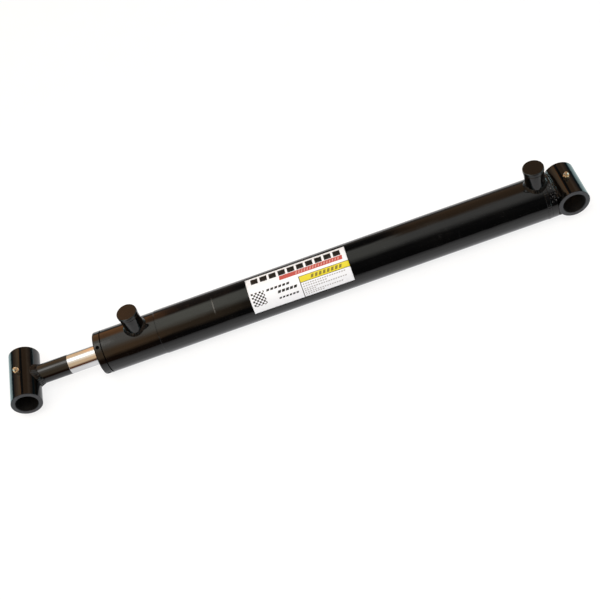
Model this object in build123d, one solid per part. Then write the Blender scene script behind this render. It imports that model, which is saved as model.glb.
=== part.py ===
from build123d import *
import os
from math import cos, radians, sin, sqrt

# Welded double-acting hydraulic cylinder with a cross tube at each end, in millimetres.
# The origin is the middle of the base-end pin bore. +X runs along the cylinder axis towards
# the rod end, +Y along both pins, and +Z the way both ports point.

# ---- Cylinder size ----
BORE = 50.8                     # 2 in bore
BARREL_OD = 63.5                # 2.5 in tube
ROD_OD = 28.575                 # 1 1/8 in rod
STROKE = 508.0                  # 20 in
RETRACTED_LENGTH = 768.35       # pin to pin, 30.25 in
SHOWN_EXTENSION = 38.1          # how far the rod is out as modelled

# ---- Cross tubes ----
CROSS_TUBE_OD = 44.45
PIN_BORE = 32.1                 # takes a 31.75 mm (1 1/4 in) pin
BASE_TUBE_LENGTH = 63.5
ROD_TUBE_LENGTH = 88.9
TUBE_CHAMFER = 0.8
NIPPLE_TILT = 5.0               # degrees, each nipple leans towards its own end of the cylinder
NIPPLE_TAP_R = 3.2
CROSS_WELD_LEG = 6.0            # weld between rod and cross tube
WELD_ROOT_Z = 7.5               # how near the axis the base end's two welds reach
WELD_HALF_LENGTH = 30.0

# ---- Barrel and base cap, as places along X ----
CAP_END_X = 21.5
CAP_SEAM_X = 31.0
CAP_WELD_END_X = 37.3
CAP_FACE_X = 35.5
LAND_X = 598.8                  # from here the outside is turned down a little
TUBE_END_X = 680.6
GLAND_BACK_X = 681.3
GLAND_FRONT_X = 691.8
LAND_OD = 62.3
WELD_ROOT_R = 26.4
WELD_CROWN = 0.5

# ---- Ports: 9/16-18 straight thread ----
BASE_PORT_X = 41.4
ROD_PORT_X = 627.8
PORT_BOSS_R = 13.9
PORT_BOSS_TOP_Z = 55.0
PORT_WELD_LEG = 2.8
PORT_THREAD_R = 7.14
PORT_HOLE_R = 5.5
PLUG_HEAD_R = 14.6
PLUG_NECK_R = 12.4
PLUG_TOP_Z = 61.3
PLUG_GAP = 0.9                  # open gap between the plug's flange and the boss
PLUG_THREAD_PITCH = 1.411       # 18 threads per inch
PLUG_THREAD_DEPTH = 0.7
SPOTFACE_R = 9.2
SPOTFACE_DEPTH = 2.4

# ---- Gland ----
GLAND_THREAD_R = 26.9
THREAD_START_X = 655.0
THREAD_PITCH = 2.117            # 12 threads per inch
THREAD_DEPTH = 1.2
NOSE_R = 20.0
GLAND_NOSE_END_X = 640.0
SPANNER_HOLE_R = 2.7
SPANNER_HOLE_DEPTH = 6.5
SPANNER_HOLE_X = 686.0
SPANNER_HOLE_ANGLE = 26.0       # degrees from +Z towards +Y
SPANNER_HOLES = 4
WIPER_GROOVE = (685.2, 690.0, 17.6)         # start, end, groove floor radius
ROD_SEAL_GROOVE = (668.0, 676.5, 18.3)
GUIDE_GROOVES = ((650.0, 660.0, 16.3), (610.0, 620.0, 16.3))
STATIC_GROOVE = (642.5, 649.0, 22.2)

# ---- Piston ----
PISTON_LENGTH = 41.0
NUT_LENGTH = 19.0
NUT_ACROSS_FLATS = 33.3
SPIGOT_R = 11.1                 # 7/8 in thread on the rod's inner end
STOP_GAP = 0.25                 # left at each end of the stroke
SEAL_GROOVE_R = 19.2
WEAR_GROOVE_R = 22.8
WEAR_RING_WIDTH = 6.3
SEAL_WIDTH = 6.6
GROOVE_ROOM = 0.1               # play of a ring along its groove

# ---- Grease nipples, with the hexagon's foot at height 0 ----
NIPPLE_FLATS = 7.94
NIPPLE_HEX_HEIGHT = 3.2
NIPPLE_TOP = 8.2
BALL_R = 1.2
BALL_Z = 6.35
CHAMBER_R = 1.45
SPRING_FOOT_Z = -4.4
SPRING_WIRE_R = 0.16
SPRING_TURNS = 9

# ---- Label ----
LABEL_X = (316.4, 462.5)
LABEL_ANGLES = (-18.6, 84.6)    # degrees from +Z towards +Y
LABEL_THICKNESS = 0.15

# ---- Fits ----
RUNNING = 0.05                  # radial clearance of what slides or turns
SEATED = 0.03                   # radial clearance of what is pressed, screwed or welded in place

# ---- Worked out from the above ----
BORE_R = BORE / 2
BARREL_R = BARREL_OD / 2
LAND_R = LAND_OD / 2
ROD_R = ROD_OD / 2
TUBE_R = CROSS_TUBE_OD / 2
PIN_R = PIN_BORE / 2
ROD_PIN_X = RETRACTED_LENGTH + SHOWN_EXTENSION
NUT_FACE_X = CAP_FACE_X + STOP_GAP + SHOWN_EXTENSION
PISTON_X = NUT_FACE_X + NUT_LENGTH
PISTON_END_X = PISTON_X + PISTON_LENGTH
GLAND_NOSE_X = PISTON_END_X + STROKE - SHOWN_EXTENSION + STOP_GAP
SEAL_X = PISTON_X + (PISTON_LENGTH - SEAL_WIDTH) / 2
WEAR_XS = (PISTON_X + 4.0, PISTON_END_X - 4.0 - WEAR_RING_WIDTH)
ROD_END_X = ROD_PIN_X - sqrt(TUBE_R**2 - ROD_R**2) + 1.0


# ---- Shared shapes ----
def turned(points):
    """A closed outline of (along, radius) points, turned about the X axis."""
    return revolve(make_face(Polyline(*points, close=True)), axis=Axis.X)


def turned_up(points):
    """A closed outline of (radius, height) points, turned about the Z axis."""
    outline = Plane.XZ * make_face(Polyline(*points, close=True))
    return revolve(outline, axis=Axis.Z)


def sleeve(x_start, x_end, inner_r, outer_r):
    """A plain ring about the X axis."""
    return turned([(x_start, inner_r), (x_end, inner_r), (x_end, outer_r), (x_start, outer_r)])


def thread_crests(start, end, crest_r, depth=THREAD_DEPTH, pitch=THREAD_PITCH):
    """Outline points of plain thread rings between two places on the axis."""
    count = int((end - start) / pitch)
    step = (end - start) / count
    points = []
    for index in range(count):
        foot = start + index * step
        points += [
            (foot, crest_r - depth),
            (foot + 0.44 * step, crest_r),
            (foot + 0.56 * step, crest_r),
        ]
    points.append((end, crest_r - depth))
    return points


def upright(radius, bottom, top, x=0.0):
    """A cylinder standing along Z."""
    centre = Pos(x, 0, (bottom + top) / 2)
    return centre * Cylinder(radius, top - bottom)


def across(radius, length, x=0.0):
    """A cylinder lying along Y, centred on the axis."""
    return Pos(x, 0, 0) * Rot(90, 0, 0) * Cylinder(radius, length)


def along(radius, x_start, x_end):
    """A cylinder lying along X."""
    return Pos((x_start + x_end) / 2, 0, 0) * Rot(0, 90, 0) * Cylinder(radius, x_end - x_start)


def seam_edges(joined):
    """The edges where two joined cylinders meet."""
    plain = (GeomType.LINE, GeomType.CIRCLE)
    return [edge for edge in joined.edges() if edge.geom_type not in plain]


def at_nipple(shape, pin_x, lean):
    """Moves a shape drawn with its foot at Z = 0 to a grease nipple's place on a cross tube."""
    return Pos(pin_x, 0, 0) * Rot(0, lean, 0) * Pos(0, 0, TUBE_R) * shape


# ---- Base end ----
def cross_tube(pin_x, length, lean):
    """A pin tube along Y, chamfered at its edges and tapped for a grease nipple."""
    half = length / 2
    outline = [
        (-half + TUBE_CHAMFER, PIN_R),
        (half - TUBE_CHAMFER, PIN_R),
        (half, PIN_R + TUBE_CHAMFER),
        (half, TUBE_R - TUBE_CHAMFER),
        (half - TUBE_CHAMFER, TUBE_R),
        (-half + TUBE_CHAMFER, TUBE_R),
        (-half, TUBE_R - TUBE_CHAMFER),
        (-half, PIN_R + TUBE_CHAMFER),
    ]
    tube = Pos(pin_x, 0, 0) * Rot(0, 0, 90) * turned(outline)
    tap = at_nipple(upright(NIPPLE_TAP_R, -10, 2), pin_x, lean)
    return tube - tap


def base_cap():
    """Solid end cap with a spigot in the tube and a saddle for the cross tube."""
    spigot_r = BORE_R - SEATED
    outline = [
        (CAP_END_X, 0),
        (CAP_END_X, BARREL_R - 1.0),
        (CAP_END_X + 1.0, BARREL_R),
        (CAP_SEAM_X, BARREL_R),
        (CAP_SEAM_X, spigot_r),
        (CAP_FACE_X - 1.0, spigot_r),
        (CAP_FACE_X, spigot_r - 1.0),
        (CAP_FACE_X, 0),
    ]
    return turned(outline) - across(TUBE_R + SEATED, 2 * BARREL_OD)


def base_cap_weld():
    """Weld ring in the groove between cap and tube, a little proud of both."""
    middle = (CAP_SEAM_X + CAP_WELD_END_X) / 2
    crown = ThreePointArc(
        (CAP_WELD_END_X, BARREL_R),
        (middle, BARREL_R + WELD_CROWN),
        (CAP_SEAM_X, BARREL_R),
    )
    sides = Polyline(
        (CAP_SEAM_X, BARREL_R),
        (CAP_SEAM_X, WELD_ROOT_R),
        (CAP_SEAM_X + 1.4, WELD_ROOT_R),
        (CAP_WELD_END_X, BARREL_R),
    )
    ring = revolve(make_face([crown, sides]), axis=Axis.X)
    port_room = upright(PORT_BOSS_R + PORT_WELD_LEG + 0.1, 0, BARREL_OD, BASE_PORT_X)
    proud = sleeve(CAP_SEAM_X - 1, CAP_WELD_END_X + 1, BARREL_R, BARREL_R + 5)
    return ring - (proud & port_room)


def base_cross_tube_weld():
    """Welds along the cross tube in the two corners it makes with the cap's end face."""
    outline = [
        (CAP_END_X, WELD_ROOT_Z),
        (CAP_END_X, BARREL_R - 5.0),
        (CAP_END_X - 2.6, BARREL_R - 7.0),
        (CAP_END_X - 5.2, BARREL_R - 10.5),
        (CAP_END_X - 7.4, BARREL_R - 15.5),
    ]
    bar = extrude(Plane.XZ * make_face(Polyline(*outline, close=True)), WELD_HALF_LENGTH, both=True)
    bar = bar & along(BARREL_R - 0.3, 0, CAP_END_X)
    bar = bar - across(TUBE_R + SEATED, 2 * BARREL_OD)
    return bar + mirror(bar, about=Plane.XY)


# ---- Barrel ----
def barrel_tube():
    """Honed tube: weld groove at one end, turned land and threaded mouth at the other."""
    outline = [
        (CAP_SEAM_X, BORE_R),
        (CAP_SEAM_X, WELD_ROOT_R),
        (CAP_SEAM_X + 1.4, WELD_ROOT_R),
        (CAP_WELD_END_X, BARREL_R),
        (LAND_X, BARREL_R),
        (LAND_X + 0.6, LAND_R),
        (TUBE_END_X - 0.8, LAND_R),
        (TUBE_END_X, LAND_R - 0.8),
        (TUBE_END_X, GLAND_THREAD_R + 0.6),
        (TUBE_END_X - 0.6, GLAND_THREAD_R),
        (THREAD_START_X, GLAND_THREAD_R),
        (THREAD_START_X - 2.0, BORE_R),
    ]
    tube = turned(outline)
    for port_x in (BASE_PORT_X, ROD_PORT_X):
        tube -= upright(PORT_HOLE_R, 0, BARREL_OD, port_x)
    return tube


def port_boss(port_x, saddle_r):
    """Round boss, coped onto the tube and bored for the plug's thread and O-ring."""
    outline = [
        (PORT_THREAD_R, 0),
        (PORT_BOSS_R, 0),
        (PORT_BOSS_R, PORT_BOSS_TOP_Z - 0.7),
        (PORT_BOSS_R - 0.7, PORT_BOSS_TOP_Z),
        (SPOTFACE_R, PORT_BOSS_TOP_Z),
        (PORT_THREAD_R, PORT_BOSS_TOP_Z - SPOTFACE_DEPTH),
    ]
    boss = Pos(port_x, 0, 0) * turned_up(outline)
    return boss - along(saddle_r + SEATED, port_x - 2 * PORT_BOSS_R, port_x + 2 * PORT_BOSS_R)


def port_weld(port_x, saddle_r):
    """Fillet weld that follows the boss's foot round the tube."""
    boss = upright(PORT_BOSS_R, 0, PORT_BOSS_TOP_Z, port_x)
    tube = along(saddle_r, port_x - 2 * PORT_BOSS_R, port_x + 2 * PORT_BOSS_R)
    weld = chamfer(seam_edges(boss + tube), PORT_WELD_LEG)
    weld -= along(saddle_r + SEATED, port_x - 3 * PORT_BOSS_R, port_x + 3 * PORT_BOSS_R)
    return weld - upright(PORT_BOSS_R + SEATED, -1, PORT_BOSS_TOP_Z + 1, port_x)


def port_plug():
    """Round flanged plug, drawn with the port's axis at X = 0."""
    head_z = PORT_BOSS_TOP_Z + PLUG_GAP
    shank_r = PORT_THREAD_R - SEATED
    shank_end = PORT_BOSS_TOP_Z - 12.0
    crests = thread_crests(
        shank_end, PORT_BOSS_TOP_Z - 3.0, shank_r, PLUG_THREAD_DEPTH, PLUG_THREAD_PITCH
    )
    shank = [(radius, height) for height, radius in crests]
    outline = [(0, shank_end)] + shank + [
        (shank_r - PLUG_THREAD_DEPTH, PORT_BOSS_TOP_Z + 0.02),
        (PLUG_NECK_R, PORT_BOSS_TOP_Z + 0.02),
        (PLUG_NECK_R, head_z),
        (PLUG_HEAD_R, head_z),
        (PLUG_HEAD_R, PLUG_TOP_Z - 1.0),
        (PLUG_HEAD_R - 0.3, PLUG_TOP_Z - 0.3),
        (PLUG_HEAD_R - 1.0, PLUG_TOP_Z),
        (0, PLUG_TOP_Z),
    ]
    return turned_up(outline)


def port_o_ring():
    """O-ring in the chamfer at the port's mouth, pressed flat by the plug."""
    inner_r = PORT_THREAD_R - PLUG_THREAD_DEPTH
    outline = [
        (inner_r, PORT_BOSS_TOP_Z - 0.1),
        (SPOTFACE_R - 0.55, PORT_BOSS_TOP_Z - 0.1),
        (PORT_THREAD_R - 0.1, PORT_BOSS_TOP_Z - 1.95),
        (inner_r, PORT_BOSS_TOP_Z - 1.95),
    ]
    return turned_up(outline)


def label():
    """Thin label wrapped part of the way round the barrel."""
    inner_r = BARREL_R + 0.01
    outer_r = BARREL_R + LABEL_THICKNESS
    start, end = (radians(angle) for angle in LABEL_ANGLES)
    middle = (start + end) / 2

    def spot(radius, angle):
        return (radius * sin(angle), radius * cos(angle))

    face = make_face([
        ThreePointArc(spot(inner_r, start), spot(inner_r, middle), spot(inner_r, end)),
        Line(spot(inner_r, end), spot(outer_r, end)),
        ThreePointArc(spot(outer_r, end), spot(outer_r, middle), spot(outer_r, start)),
        Line(spot(outer_r, start), spot(inner_r, start)),
    ])
    width = LABEL_X[1] - LABEL_X[0]
    return extrude(Plane.YZ.offset(LABEL_X[0]) * face, width)


# ---- Gland and its seals ----
def gland():
    """Screwed-in head that guides and seals the rod."""
    rod_hole_r = ROD_R + 0.1
    outline = [
        (GLAND_NOSE_X, rod_hole_r + 1.0),
        (GLAND_NOSE_X, NOSE_R),
        (GLAND_NOSE_END_X, NOSE_R),
        (GLAND_NOSE_END_X, BORE_R - SEATED),
        (STATIC_GROOVE[0], BORE_R - SEATED),
        (STATIC_GROOVE[0], STATIC_GROOVE[2]),
        (STATIC_GROOVE[1], STATIC_GROOVE[2]),
        (STATIC_GROOVE[1], BORE_R - SEATED),
        (THREAD_START_X, BORE_R - SEATED),
    ]
    outline += thread_crests(THREAD_START_X + 0.5, TUBE_END_X - 1.0, GLAND_THREAD_R - SEATED)
    outline += [
        (GLAND_BACK_X, GLAND_THREAD_R - THREAD_DEPTH),
        (GLAND_BACK_X, LAND_R),
        (GLAND_FRONT_X - 1.4, LAND_R),
        (GLAND_FRONT_X - 0.4, LAND_R - 0.4),
        (GLAND_FRONT_X, LAND_R - 1.4),
        (GLAND_FRONT_X, ROD_R + 2.2),
        (WIPER_GROOVE[1], ROD_R + 2.2),
        (WIPER_GROOVE[1], WIPER_GROOVE[2]),
        (WIPER_GROOVE[0], WIPER_GROOVE[2]),
        (WIPER_GROOVE[0], rod_hole_r),
    ]
    for start, end, floor_r in (ROD_SEAL_GROOVE, *GUIDE_GROOVES):
        outline += [(end, rod_hole_r), (end, floor_r), (start, floor_r), (start, rod_hole_r)]
    outline.append((GLAND_NOSE_X + 1.0, rod_hole_r))
    body = turned(outline)
    drill = Pos(SPANNER_HOLE_X, 0, LAND_R - SPANNER_HOLE_DEPTH / 2 + 1) * Cylinder(
        SPANNER_HOLE_R, SPANNER_HOLE_DEPTH + 2
    )
    for index in range(SPANNER_HOLES):
        body -= Rot(-SPANNER_HOLE_ANGLE - index * 360 / SPANNER_HOLES, 0, 0) * drill
    return body


def rod_wiper():
    """Wiper with a lip that leans outwards on the rod."""
    start, end, floor_r = WIPER_GROOVE
    lip_r = ROD_R + RUNNING
    outline = [
        (start + 0.1, lip_r + 0.8),
        (start + 0.1, floor_r - SEATED),
        (end - 0.1, floor_r - SEATED),
        (end - 0.1, ROD_R + 2.0),
        (end + 0.9, ROD_R + 1.5),
        (end + 1.5, lip_r),
        (end + 0.6, lip_r),
        (end - 1.6, lip_r + 0.8),
    ]
    return turned(outline)


def rod_seal():
    """U-cup whose two lips face the pressure side."""
    start, end, floor_r = ROD_SEAL_GROOVE
    inner_r = ROD_R + RUNNING
    outer_r = floor_r - SEATED
    middle = (inner_r + outer_r) / 2
    outline = [
        (start + 0.3, inner_r),
        (end - 0.2, inner_r + 0.25),
        (end - 0.2, outer_r - 0.1),
        (start + 0.3, outer_r),
        (start + 0.6, outer_r - 0.9),
        (start + 3.2, middle + 0.3),
        (start + 3.2, middle - 0.3),
        (start + 0.6, inner_r + 0.9),
    ]
    return turned(outline)


def split_ring(x_start, x_end, inner_r, outer_r):
    """A guide strip bent round, with a slanted gap where its ends meet."""
    slot = Pos((x_start + x_end) / 2, 0, outer_r) * Rot(0, 0, 30) * Box(40, 1.2, 12)
    return sleeve(x_start, x_end, inner_r, outer_r) - slot


def rod_guide_rings():
    """Two split guide rings that carry the rod in the gland."""
    rings = []
    for start, end, floor_r in GUIDE_GROOVES:
        rings.append(split_ring(start + 0.15, end - 0.15, ROD_R + RUNNING, floor_r - SEATED))
    return Compound(children=rings)


def gland_o_ring():
    """Static O-ring between gland and barrel, squeezed to the groove's height."""
    start, _, floor_r = STATIC_GROOVE
    height = BORE_R - floor_r - 0.1
    middle_r = floor_r + 0.05 + height / 2
    section = Pos(start + 0.1 + height / 2, middle_r) * Circle(height / 2)
    return revolve(section, axis=Axis.X)


def gland_backup_ring():
    """Flat backup ring on the O-ring's outer side."""
    _, end, floor_r = STATIC_GROOVE
    return split_ring(end - 1.9, end - 0.1, floor_r + SEATED, BORE_R - SEATED)


# ---- Piston and its seals ----
def piston():
    """Piston with a seal groove between two wear-ring grooves."""
    land_r = BORE_R - 0.35
    hole_r = SPIGOT_R + SEATED
    o_ring_x = PISTON_END_X - 6.0
    outline = [
        (PISTON_X, hole_r),
        (PISTON_X, land_r - 1.5),
        (PISTON_X + 1.5, land_r),
    ]
    grooves = [
        (WEAR_XS[0], WEAR_XS[0] + WEAR_RING_WIDTH, WEAR_GROOVE_R),
        (SEAL_X, SEAL_X + SEAL_WIDTH, SEAL_GROOVE_R),
        (WEAR_XS[1], WEAR_XS[1] + WEAR_RING_WIDTH, WEAR_GROOVE_R),
    ]
    for start, end, floor_r in grooves:
        outline += [(start, land_r), (start, floor_r), (end, floor_r), (end, land_r)]
    outline += [
        (PISTON_END_X - 1.5, land_r),
        (PISTON_END_X, land_r - 1.5),
        (PISTON_END_X, hole_r),
        (o_ring_x + 3.0, hole_r),
        (o_ring_x + 3.0, hole_r + 2.2),
        (o_ring_x, hole_r + 2.2),
        (o_ring_x, hole_r),
    ]
    return turned(outline)


def piston_rod_o_ring():
    """Static O-ring between the piston's hole and the rod's spigot."""
    o_ring_x = PISTON_END_X - 6.0
    section = Pos(o_ring_x + 1.5, SPIGOT_R + SEATED + 1.08) * Circle(1.04)
    return revolve(section, axis=Axis.X)


def piston_seal():
    """Hard sealing ring that slides on the barrel's bore."""
    outer_r = BORE_R - RUNNING
    start = SEAL_X + GROOVE_ROOM
    end = SEAL_X + SEAL_WIDTH - GROOVE_ROOM
    outline = [
        (start, outer_r - 2.4),
        (start, outer_r - 0.4),
        (start + 0.4, outer_r),
        (end - 0.4, outer_r),
        (end, outer_r - 0.4),
        (end, outer_r - 2.4),
    ]
    return turned(outline)


def piston_seal_energizer():
    """Rubber ring that presses the sealing ring outwards."""
    outer_r = BORE_R - RUNNING - 2.4 - SEATED
    inner_r = SEAL_GROOVE_R + RUNNING
    start = SEAL_X + 0.6
    end = SEAL_X + SEAL_WIDTH - 0.6
    outline = [
        (start, inner_r + 0.8),
        (start, outer_r - 0.8),
        (start + 0.8, outer_r),
        (end - 0.8, outer_r),
        (end, outer_r - 0.8),
        (end, inner_r + 0.8),
        (end - 0.8, inner_r),
        (start + 0.8, inner_r),
    ]
    return turned(outline)


def piston_wear_rings():
    """Two split rings that carry the piston in the bore."""
    rings = []
    for start in WEAR_XS:
        end = start + WEAR_RING_WIDTH
        rings.append(
            split_ring(start + GROOVE_ROOM, end - GROOVE_ROOM, WEAR_GROOVE_R + RUNNING, BORE_R - RUNNING)
        )
    return Compound(children=rings)


def piston_nut():
    """Hexagon lock nut that holds the piston against the rod's shoulder."""
    prism = extrude(RegularPolygon(NUT_ACROSS_FLATS / 2, 6, major_radius=False), NUT_LENGTH)
    corner_r = NUT_ACROSS_FLATS / sqrt(3)
    flat_r = NUT_ACROSS_FLATS / 2
    prism = Pos(NUT_FACE_X, 0, 0) * Rot(0, 90, 0) * prism
    rounding = turned([
        (NUT_FACE_X, 0),
        (NUT_FACE_X, flat_r),
        (NUT_FACE_X + 1.4, corner_r + 0.1),
        (PISTON_X - 1.4, corner_r + 0.1),
        (PISTON_X, flat_r),
        (PISTON_X, 0),
    ])
    hole = sleeve(NUT_FACE_X - 1, PISTON_X + 1, 0, SPIGOT_R + SEATED)
    return (prism & rounding) - hole


# ---- Rod ----
def piston_rod():
    """Rod with a threaded spigot for the piston, coped at its outer end to the cross tube."""
    spigot_start = NUT_FACE_X + 0.3
    outline = [(spigot_start, 0)]
    outline += thread_crests(spigot_start, PISTON_X + 2.0, SPIGOT_R, 0.9, 1.814)
    outline += [
        (PISTON_X + 2.0, SPIGOT_R),
        (PISTON_END_X, SPIGOT_R),
        (PISTON_END_X, ROD_R - 1.2),
        (PISTON_END_X + 1.2, ROD_R),
        (ROD_END_X, ROD_R),
        (ROD_END_X, 0),
    ]
    return turned(outline) - across(TUBE_R + SEATED, 2 * ROD_TUBE_LENGTH, ROD_PIN_X)


def rod_cross_tube_weld():
    """Fillet weld all round the rod where it meets the cross tube."""
    rod = along(ROD_R, ROD_PIN_X - 2 * TUBE_R, ROD_PIN_X)
    joined = rod + across(TUBE_R, ROD_TUBE_LENGTH, ROD_PIN_X)
    weld = chamfer(seam_edges(joined), CROSS_WELD_LEG)
    weld -= across(TUBE_R + SEATED, 2 * ROD_TUBE_LENGTH, ROD_PIN_X)
    return weld - along(ROD_R + SEATED, ROD_PIN_X - 3 * TUBE_R, ROD_PIN_X)


# ---- Grease nipples, drawn with the hexagon's foot at Z = 0 ----
def nipple_body():
    """Grease nipple: screwed shank, hexagon, and a bulged head with a ball seat."""
    shank_r = NIPPLE_TAP_R - SEATED
    shank = [(radius, height) for height, radius in thread_crests(-5.4, -0.4, shank_r, 0.45, 0.9)]
    seat_z = BALL_Z + 0.96
    outline = [(0.8, -5.4)] + shank + [
        (shank_r - 0.45, 0),
        (NIPPLE_FLATS, 0),
        (NIPPLE_FLATS, NIPPLE_HEX_HEIGHT),
        (2.35, NIPPLE_HEX_HEIGHT),
        (2.35, 4.5),
        (3.25, 5.6),
        (3.25, 6.3),
        (2.1, NIPPLE_TOP),
        (0.85, NIPPLE_TOP),
        (0.85, seat_z),
        (CHAMBER_R, BALL_Z - 0.1),
        (CHAMBER_R, SPRING_FOOT_Z),
        (0.8, SPRING_FOOT_Z),
    ]
    body = turned_up(outline)
    flats = extrude(RegularPolygon(NIPPLE_FLATS / 2, 6, major_radius=False), NIPPLE_HEX_HEIGHT)
    trim = upright(2 * NIPPLE_FLATS, 0, NIPPLE_HEX_HEIGHT) - flats
    return body - trim


def nipple_ball():
    """Check ball held against the seat."""
    return Pos(0, 0, BALL_Z) * Sphere(BALL_R)


def nipple_spring():
    """Coil spring between the chamber's floor and the ball."""
    bottom = SPRING_FOOT_Z + SPRING_WIRE_R + 0.02
    top = BALL_Z - BALL_R - SPRING_WIRE_R - 0.05
    coil_r = 1.0
    path = Pos(0, 0, bottom) * Helix((top - bottom) / SPRING_TURNS, top - bottom, coil_r)
    section = Plane(path @ 0, z_dir=path % 0) * Circle(SPRING_WIRE_R)
    return sweep(section, path=path, is_frenet=True)


# ---- All the pieces ----
def all_pieces():
    """Every node's shape, by its name."""
    pieces = {
        "barrel_tube": barrel_tube(),
        "base_cap": base_cap(),
        "base_cap_weld": base_cap_weld(),
        "base_cross_tube": cross_tube(0.0, BASE_TUBE_LENGTH, -NIPPLE_TILT),
        "base_cross_tube_weld": base_cross_tube_weld(),
        "gland": gland(),
        "gland_o_ring": gland_o_ring(),
        "gland_backup_ring": gland_backup_ring(),
        "rod_wiper": rod_wiper(),
        "rod_seal": rod_seal(),
        "rod_guide_rings": rod_guide_rings(),
        "label": label(),
        "piston": piston(),
        "piston_nut": piston_nut(),
        "piston_rod_o_ring": piston_rod_o_ring(),
        "piston_seal": piston_seal(),
        "piston_seal_energizer": piston_seal_energizer(),
        "piston_wear_rings": piston_wear_rings(),
        "piston_rod": piston_rod(),
        "rod_cross_tube": cross_tube(ROD_PIN_X, ROD_TUBE_LENGTH, NIPPLE_TILT),
        "rod_cross_tube_weld": rod_cross_tube_weld(),
    }
    ports = (("base_side_port", BASE_PORT_X, BARREL_R), ("rod_side_port", ROD_PORT_X, LAND_R))
    for name, port_x, saddle_r in ports:
        pieces[name + "_boss"] = port_boss(port_x, saddle_r)
        pieces[name + "_weld"] = port_weld(port_x, saddle_r)
        pieces[name + "_plug"] = Pos(port_x, 0, 0) * port_plug()
        pieces[name + "_o_ring"] = Pos(port_x, 0, 0) * port_o_ring()
    for end, pin_x, lean in (("base", 0.0, -NIPPLE_TILT), ("rod", ROD_PIN_X, NIPPLE_TILT)):
        pieces[end + "_grease_nipple"] = at_nipple(nipple_body(), pin_x, lean)
        pieces[end + "_nipple_ball"] = at_nipple(nipple_ball(), pin_x, lean)
        pieces[end + "_nipple_spring"] = at_nipple(nipple_spring(), pin_x, lean)
    return pieces


os.makedirs("parts", exist_ok=True)
for node, shape in all_pieces().items():
    export_step(shape, f"parts/{node}.step")
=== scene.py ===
import random
from math import acos, asin, cos, pi, radians, sin, sqrt, tau

import bmesh
import bpy
from mathutils import Matrix, Vector


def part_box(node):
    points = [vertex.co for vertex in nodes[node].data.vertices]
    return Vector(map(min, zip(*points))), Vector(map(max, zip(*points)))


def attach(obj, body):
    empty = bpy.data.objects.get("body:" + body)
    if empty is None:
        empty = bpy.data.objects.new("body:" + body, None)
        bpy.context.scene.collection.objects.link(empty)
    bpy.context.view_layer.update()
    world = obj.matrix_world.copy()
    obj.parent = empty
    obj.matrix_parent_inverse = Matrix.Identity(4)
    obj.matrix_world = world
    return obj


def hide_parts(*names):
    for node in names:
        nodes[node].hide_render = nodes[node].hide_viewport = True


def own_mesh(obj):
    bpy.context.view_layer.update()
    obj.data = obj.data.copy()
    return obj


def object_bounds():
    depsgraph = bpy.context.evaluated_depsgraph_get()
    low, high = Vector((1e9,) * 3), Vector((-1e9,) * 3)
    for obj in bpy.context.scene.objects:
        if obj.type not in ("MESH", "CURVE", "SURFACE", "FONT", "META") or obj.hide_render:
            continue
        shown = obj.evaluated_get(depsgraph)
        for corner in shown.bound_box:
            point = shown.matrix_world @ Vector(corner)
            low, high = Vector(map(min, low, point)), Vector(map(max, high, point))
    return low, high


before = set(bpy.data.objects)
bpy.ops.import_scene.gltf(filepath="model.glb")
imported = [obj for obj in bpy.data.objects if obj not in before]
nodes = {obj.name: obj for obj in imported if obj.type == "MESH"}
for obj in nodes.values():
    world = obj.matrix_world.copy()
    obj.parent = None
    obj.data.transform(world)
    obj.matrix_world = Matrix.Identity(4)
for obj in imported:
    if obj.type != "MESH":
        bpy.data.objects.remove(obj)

# Looks of the hydraulic cylinder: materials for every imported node, weld beads, a label and
# springs built here, and a pale studio. Metres, in the row frame.

scene = bpy.context.scene
scene.view_settings.view_transform = "Standard"
low_corner, high_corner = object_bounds()

# Sizes and places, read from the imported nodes.
BARREL_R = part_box("barrel_tube")[1].z
LAND_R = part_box("gland")[1].z
ROD_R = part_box("piston_rod")[1].y
TUBE_R = -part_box("base_cross_tube")[0].x
BASE_TUBE_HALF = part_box("base_cross_tube")[1].y
ROD_TUBE_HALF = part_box("rod_cross_tube")[1].y
ROD_PIN_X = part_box("rod_cross_tube")[0].x + TUBE_R
CAP_END_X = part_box("base_cap")[0].x
CAP_WELD_X = [corner.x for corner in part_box("base_cap_weld")]
PORTS = ("base_side_port", "rod_side_port")
BOSS_X = {port: [corner.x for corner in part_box(port + "_boss")] for port in PORTS}
BOSS_R = (BOSS_X["base_side_port"][1] - BOSS_X["base_side_port"][0]) / 2
FLOOR_Z = low_corner.z - 0.00025

# Where a finish changes: under the plugs' heads, at the gland's flange, on the rod just inside
# the piston and at the paint's edge, and at the mark on the barrel.
PLUG_HEAD_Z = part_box("base_side_port_boss")[1].z
FLANGE_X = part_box("barrel_tube")[1].x + 0.0004
CHROME_FROM_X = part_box("piston")[1].x - 0.00065
PAINT_EDGE_X = ROD_PIN_X - 0.06895
MARK_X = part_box("label")[1].x + 0.0512

# Radii that no box shows: one inside the barrel's wall, and that of the pin bores.
IN_WALL_R = 0.0270
PIN_BORE_R = 0.01605

# How far the toes of a weld bead reach into the metal on either side.
SINK = 0.00005


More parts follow.
